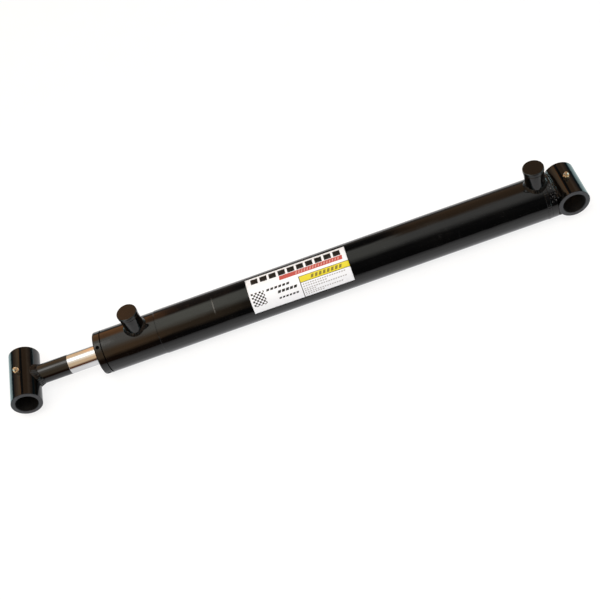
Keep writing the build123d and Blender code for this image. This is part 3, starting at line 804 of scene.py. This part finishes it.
def sheet_glow(g, coords):
    """Glow of the light table: less towards its front edge, cooler past the object's ends."""
    x, y, _ = g.split(coords)
    past_end = g.smooth(g.math("ABSOLUTE", g.math("SUBTRACT", x, ROD_PIN_X / 2)), 0.41, 0.50)
    glow = g.blend(past_end, (0.66, 0.67, 0.69), (0.70, 1.02, 1.06))
    return g.blend(g.smooth(y, 0.06, 0.17), glow, (0.20, 0.21, 0.23))


def glowing(name, paint_glow):
    """The floor's finish with a glow of its own."""
    made = material(name, floor_finish, Specular_IOR_Level=0.0, Emission_Strength=1.0)
    g = Graph(made.node_tree, fresh=False)
    shader = next(node for node in g.tree.nodes if node.type == "BSDF_PRINCIPLED")
    g.put(shader.inputs["Emission Color"], paint_glow(g, g.object_coords()))
    return made


# The camera sees the floor. The paint mirrors the light table, which lies just over it.
floor = plane("floor", (-9, 9), (-9, 9), FLOOR_Z - 0.0004, glowing("pale_floor", floor_glow))
floor.visible_glossy = False
sheet = plane("table_sheet", (-0.35, 1.6), (-1.3, 0.196), FLOOR_Z, glowing("pale_sheet", sheet_glow))
sheet.visible_camera = False
sheet.visible_diffuse = False
sheet.visible_shadow = False


def area_light(name, place, target, size, energy):
    """A soft light that isn't mirrored in the paint."""
    data = bpy.data.lights.new(name, "AREA")
    data.shape = "DISK"
    data.size = size
    data.energy = energy
    made = bpy.data.objects.new(name, data)
    made.location = place
    made.rotation_euler = (Vector(target) - Vector(place)).to_track_quat("-Z", "Y").to_euler()
    made.visible_glossy = False
    scene.collection.objects.link(made)


area_light("key", (0.4, 1.3, 2.3), target=(0.4, 0.0, 0.0), size=1.8, energy=52.0)
area_light("fill", (0.4, -1.6, 2.2), target=(0.4, -0.2, 0.0), size=2.4, energy=7.0)


# The room seen in the paint. For each part of its length: the x of a direction where that part
# begins and is complete, the colours of its foot, front, ceiling and back wall, and the turns
# where the foot and the ceiling end. Turns are in degrees about X: 0 is the front, 90 straight
# up and 180 the back.
DARK = (0.03, 0.03, 0.03)
BASE_ROOM = (DARK, (0.05, 0.05, 0.05), (0.84, 0.83, 0.80), (0.42, 0.26, 0.15), 30, 104)
ROOM_PARTS = (
    (-0.06, -0.04, DARK, (0.05, 0.05, 0.05), (1.00, 1.00, 0.92), (0.04, 0.04, 0.04), 30, 120),
    (0.07, 0.14, DARK, (0.45, 0.32, 0.20), (1.50, 1.50, 1.30), (0.12, 0.10, 0.09), 30, 118),
    (0.16, 0.21, (0.08, 0.04, 0.02), (0.95, 0.57, 0.30), (1.35, 1.28, 1.15), (1.45, 0.66, 0.27), 30, 122),
    (0.235, 0.25, (0.13, 0.04, 0.015), (0.75, 0.58, 0.38), (1.20, 1.10, 0.95), (0.90, 0.62, 0.37), 25, 118),
)
LAMP_COLOUR = (3.9, 3.85, 3.7)

# In degrees: how wide the foot fades out, half of how wide the ceiling does, and the turns
# between which the front fades into the ceiling and the back wall into the ground behind.
FOOT_FADE, CEILING_FADE = 22, 9
FRONT_END, CEILING_BEGIN = 42, 80
WALL_END, BACK_BEGIN = 158, 174


def build_world():
    """A room mirrored in the paint, and a plain pale backdrop for the camera."""
    world = bpy.data.worlds.new("studio")
    scene.world = world
    world.use_nodes = True
    g = Graph(world.node_tree)
    out = g.add("ShaderNodeOutputWorld")
    sky = g.add("ShaderNodeBackground")
    plain = g.add("ShaderNodeBackground")
    g.put(plain.inputs["Color"], (0.93, 0.94, 0.95, 1.0))
    either = g.add("ShaderNodeMixShader")
    x, y, z = g.split(g.add("ShaderNodeTexCoord").outputs["Generated"])
    turn = g.math("DEGREES", g.math("ARCTAN2", z, y))

    def room(foot, front, ceiling, wall, foot_end, ceiling_end):
        """One part of the room's length, coloured by the turn."""
        colour = g.blend(g.smooth(turn, foot_end - FOOT_FADE, foot_end), foot, front)
        colour = g.blend(g.smooth(turn, FRONT_END, CEILING_BEGIN), colour, ceiling)
        wall_in = g.smooth(turn, ceiling_end - CEILING_FADE, ceiling_end + CEILING_FADE)
        colour = g.blend(wall_in, colour, wall)
        return g.blend(g.smooth(turn, WALL_END, BACK_BEGIN), colour, (0.20, 0.17, 0.15))

    colour = room(*BASE_ROOM)
    for begins, complete, *part in ROOM_PARTS:
        colour = g.blend(g.smooth(x, begins, complete), colour, room(*part))
    lamp = g.math("MULTIPLY", g.smooth(turn, 74, 88), g.smooth(turn, 100, 110, 1.0, 0.0))
    colour = g.blend(g.math("MULTIPLY", lamp, g.smooth(x, 0.24, 0.255)), colour, LAMP_COLOUR)
    low = g.blend(g.smooth(z, -0.06, 0.06), (1.00, 1.45, 1.50), (0.03, 0.06, 0.07))
    high = g.blend(g.smooth(z, 0.35, 0.60), (0.26, 0.17, 0.12), (0.60, 0.42, 0.28))
    ends = g.blend(g.smooth(z, 0.22, 0.34), low, high)
    colour = g.blend(g.smooth(g.math("ABSOLUTE", x), 0.38, 0.50), colour, ends)
    g.put(sky.inputs["Color"], colour)
    g.put(either.inputs[0], g.add("ShaderNodeLightPath").outputs["Is Camera Ray"])
    g.put(either.inputs[1], sky.outputs[0])
    g.put(either.inputs[2], plain.outputs[0])
    g.put(out.inputs["Surface"], either.outputs[0])


build_world()


CAMERA_PLACE = Vector((0.3126, 1.0443, 1.1287))
CAMERA_TARGET = Vector((0.3979, 0.0306, 0.0))
CAMERA_ROLL = 23.0
CAMERA_LENS = 65.8


def place_camera():
    """The camera at the pictured angle."""
    data = bpy.data.cameras.new("main_camera")
    data.lens = CAMERA_LENS
    data.sensor_width = 36.0
    camera = bpy.data.objects.new("main_camera", data)
    scene.collection.objects.link(camera)
    aim = (CAMERA_TARGET - CAMERA_PLACE).to_track_quat("-Z", "Y").to_matrix().to_4x4()
    roll = Matrix.Rotation(-radians(CAMERA_ROLL), 4, "Z")
    camera.matrix_world = Matrix.Translation(CAMERA_PLACE) @ aim @ roll
    scene.camera = camera


place_camera()
